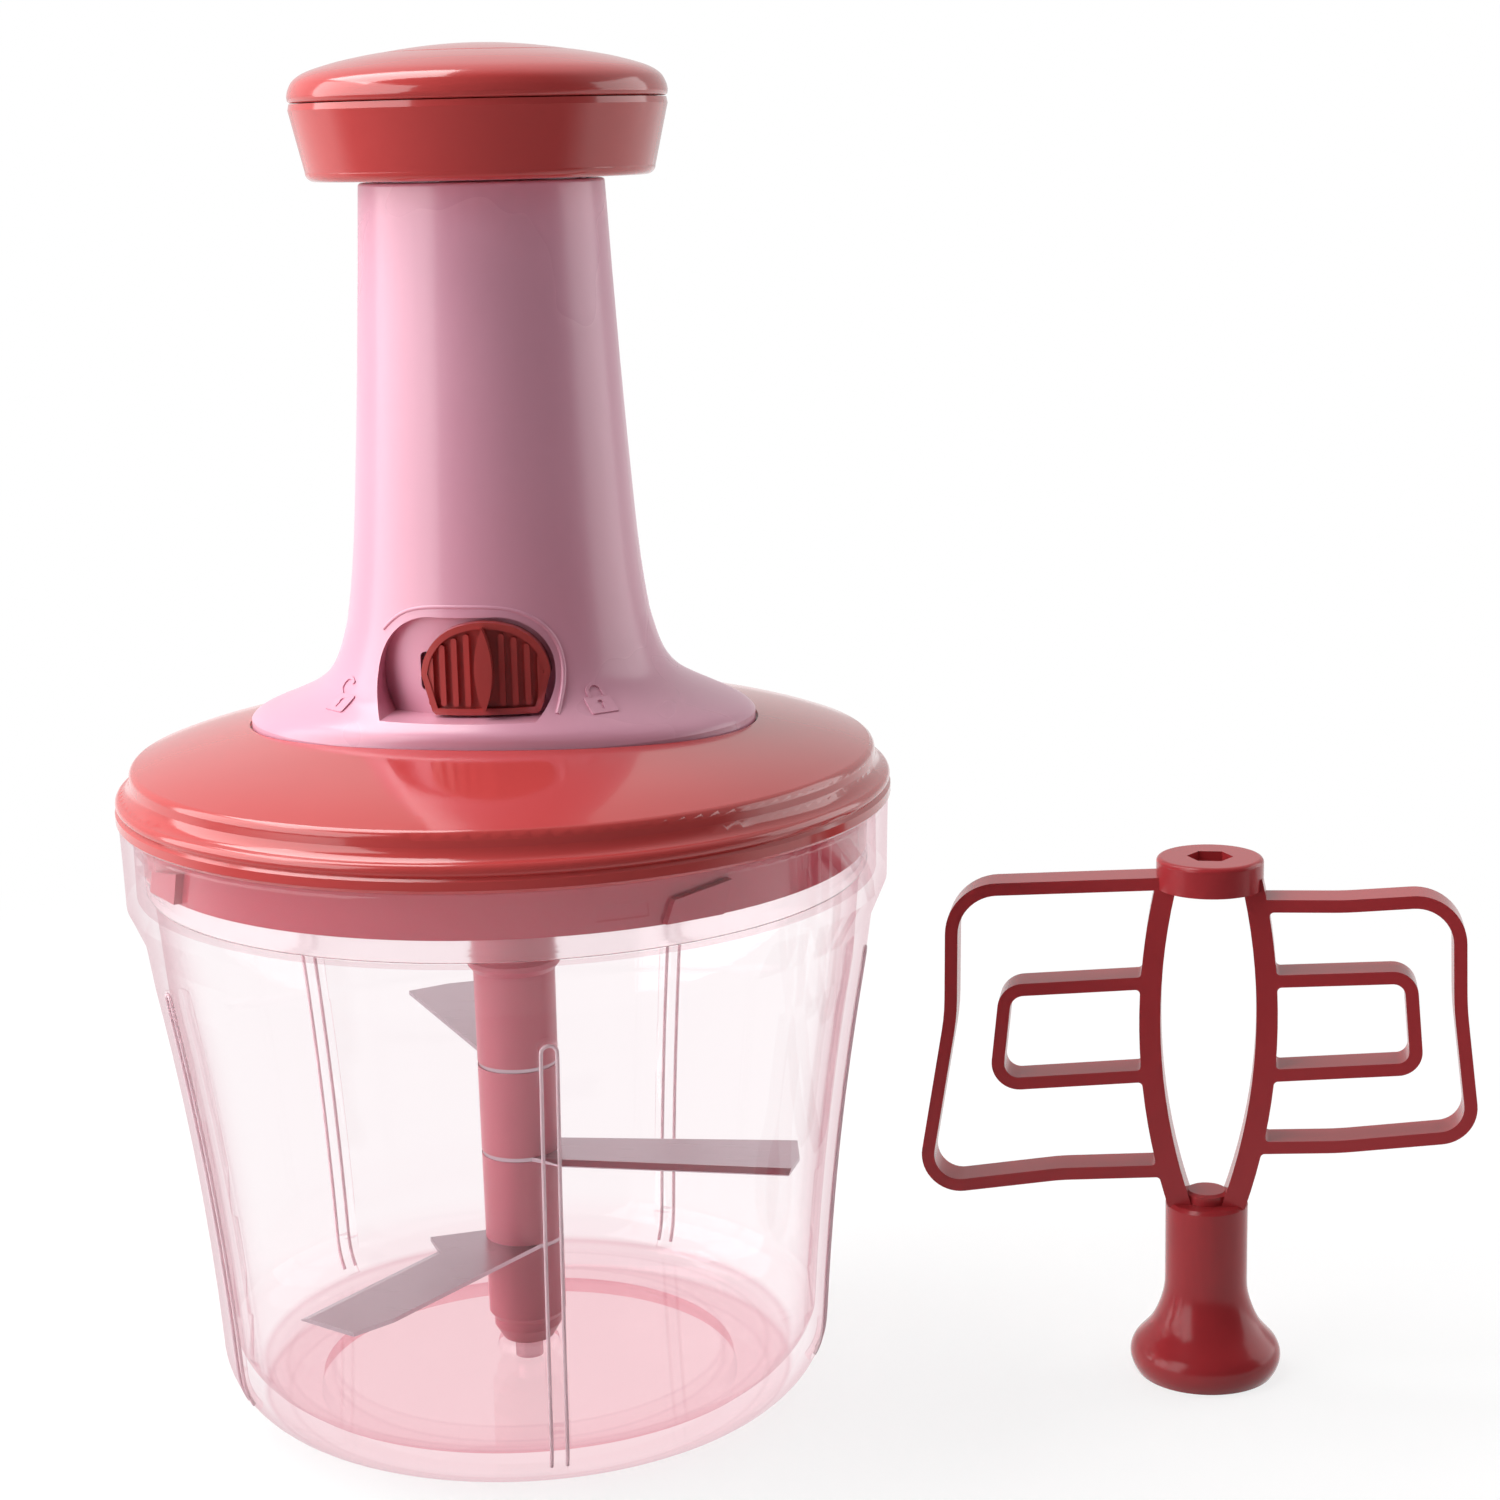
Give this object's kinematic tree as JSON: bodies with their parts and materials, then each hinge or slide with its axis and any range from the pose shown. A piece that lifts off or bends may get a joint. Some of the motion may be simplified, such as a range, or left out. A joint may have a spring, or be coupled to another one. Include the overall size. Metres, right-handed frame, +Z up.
{
  "type": "plunger food chopper",
  "caption": "Hand-pressed food chopper: clear fluted bowl, domed lid with a tall column and round push knob, blade set on a central hub, and a loose looped whisk beside it.",
  "frame": {"origin": "centre of the bowl's foot ring, on the table", "axes": "+Z up along the bowl's axis, -Y towards the side of the column that holds the lock slider, +X towards the loose whisk"},
  "size_m": [0.2452, 0.14, 0.2465],
  "materials": {
    "clear_bowl": "clear moulded plastic with a faint pink tint",
    "knob_plastic": "glossy coral",
    "lid_plastic": "glossy coral",
    "column_plastic": "glossy dusty pink",
    "slider_plastic": "glossy brick red",
    "hub_plastic": "semi-gloss coral",
    "whisk_plastic": "glossy deep red",
    "bush_plastic": "natural white, low friction",
    "silicone": "matt soft seal",
    "blade_steel": "ground stainless sheet",
    "steel": "bright stainless"
  },
  "bodies": {
    "bowl": {"bowl": "clear_bowl", "pivot_pin": "steel"},
    "lid": {"lid_base": "lid_plastic", "lid_cover": "lid_plastic", "lid_gasket": "silicone", "spindle_bush": "bush_plastic", "rod_bush": "bush_plastic", "base_screws": "steel", "column_screws": "steel", "column": "column_plastic", "guide_bush": "bush_plastic", "return_spring": "steel"},
    "plunger": {"plunger_tube": "column_plastic", "drive_nut": "bush_plastic", "knob_ring": "knob_plastic", "knob_cap": "knob_plastic", "knob_disc": "knob_plastic", "knob_screws": "steel"},
    "lock": {"lock_slider": "slider_plastic", "lock_plate": "bush_plastic"},
    "drive": {"twisted_rod": "steel", "ratchet_driver": "steel", "drive_spindle": "steel"},
    "blade_set": {"hub_core": "hub_plastic", "hub_foot": "hub_plastic", "hub_spacer_lower": "hub_plastic", "hub_spacer_upper": "hub_plastic", "hub_sleeve": "hub_plastic", "blade_lower": "blade_steel", "blade_middle": "blade_steel", "blade_upper": "blade_steel"},
    "whisk": {"whisk": "whisk_plastic"}
  },
  "joints": [
    {"name": "lid_lift", "type": "slide", "parent": "bowl", "child": "lid", "axis": [0, 0, 1], "range_m": [0, 0.1]},
    {"name": "plunger", "type": "slide", "parent": "lid", "child": "plunger", "axis": [0, 0, 1], "range_m": [0, 0.065], "deforming": ["return_spring"]},
    {"name": "lock", "type": "hinge", "parent": "lid", "child": "lock", "pos_m": [0, 0, 0.14], "axis": [0, 0, 1], "range_deg": [-17, 0]},
    {"name": "drive_turn", "type": "hinge", "parent": "lid", "child": "drive", "pos_m": [0, 0, 0.12], "axis": [0, 0, 1], "continuous": true},
    {"name": "blade_turn", "type": "hinge", "parent": "bowl", "child": "blade_set", "pos_m": [0, 0, 0.05], "axis": [0, 0, 1], "continuous": true},
    {"name": "whisk_lift", "type": "slide", "parent": "bowl", "child": "whisk", "axis": [0, 0, 1], "range_m": [0, 0.12]}
  ],
  "couplings": [
    {"joint": "drive_turn", "follows": "plunger", "rad_per_m": 157.08},
    {"joint": "blade_turn", "follows": "plunger", "rad_per_m": 157.08}
  ]
}
